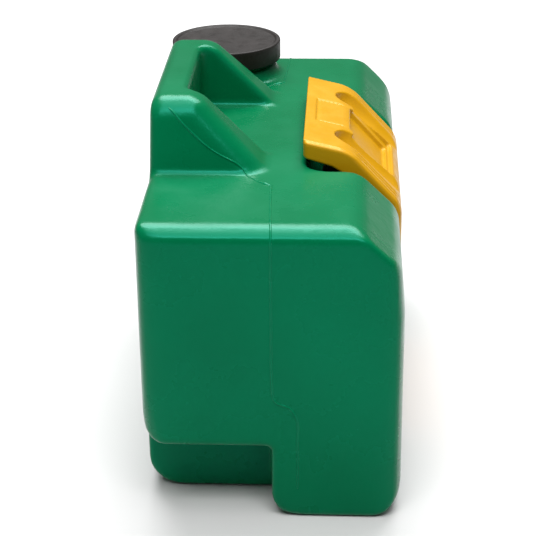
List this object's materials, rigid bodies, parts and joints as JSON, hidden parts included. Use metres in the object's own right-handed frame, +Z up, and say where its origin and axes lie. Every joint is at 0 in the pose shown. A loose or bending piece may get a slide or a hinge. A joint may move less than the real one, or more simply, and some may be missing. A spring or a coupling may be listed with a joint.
{
  "type": "portable eyewash station",
  "caption": "Portable gravity-fed eyewash: moulded water tank with grip handle, screw fill cap and a pull-down front arm carrying twin spray heads.",
  "frame": {"origin": "middle of the tank's footprint, on the surface that it stands on", "axes": "+X along the tank's long side, towards the fill cap's end; -Y towards the user, where the arm opens; +Z up"},
  "size_m": [0.53, 0.2486, 0.353],
  "materials": {
    "tank_green": "blow-moulded polyethylene, semi-gloss",
    "arm_yellow": "injection-moulded plastic, satin",
    "cap_black": "fine moulded texture",
    "head_black": "moulded, satin",
    "seal_rubber": "matt",
    "fitting_white": "moulded, satin",
    "hose_grey": "extruded, smooth",
    "stainless": "bright"
  },
  "bodies": {
    "tank": {"tank_shell": "tank_green", "outlet_elbow": "fitting_white", "outlet_gasket": "seal_rubber", "outlet_nut": "fitting_white", "hose_clamp_lower": "stainless", "hinge_bush_left": "fitting_white", "hinge_bush_right": "fitting_white"},
    "arm": {"arm_shell": "arm_yellow", "supply_hose": "hose_grey", "hose_clamp_upper": "stainless", "manifold_pipe": "fitting_white", "manifold_clip_left": "head_black", "manifold_clip_right": "head_black", "clip_screw_left": "stainless", "clip_screw_right": "stainless", "spray_head_left": "head_black", "spray_head_right": "head_black", "spray_plate_left": "fitting_white", "spray_plate_right": "fitting_white", "flow_disc_left": "stainless", "flow_disc_right": "stainless", "hinge_pin_left": "stainless", "hinge_pin_right": "stainless", "pin_clip_left": "stainless", "pin_clip_right": "stainless"},
    "gasket": {"cap_gasket": "seal_rubber"},
    "cap": {"fill_cap": "cap_black"}
  },
  "joints": [
    {"name": "arm_hinge", "type": "hinge", "parent": "tank", "child": "arm", "pos_m": [0, -0.098, 0.028], "axis": [1, 0, 0], "range_deg": [0, 90]},
    {"name": "cap_lift", "type": "slide", "parent": "tank", "child": "gasket", "axis": [0, 0, 1], "range_m": [0, 0.0126]},
    {"name": "cap_turn", "type": "hinge", "parent": "gasket", "child": "cap", "pos_m": [0.1935, 0.0687, 0.32], "axis": [0, 0, 1], "range_deg": [0, 900]}
  ],
  "couplings": [
    {"joint": "cap_lift", "follows": "cap_turn", "m_per_rad": 0.00079577}
  ]
}
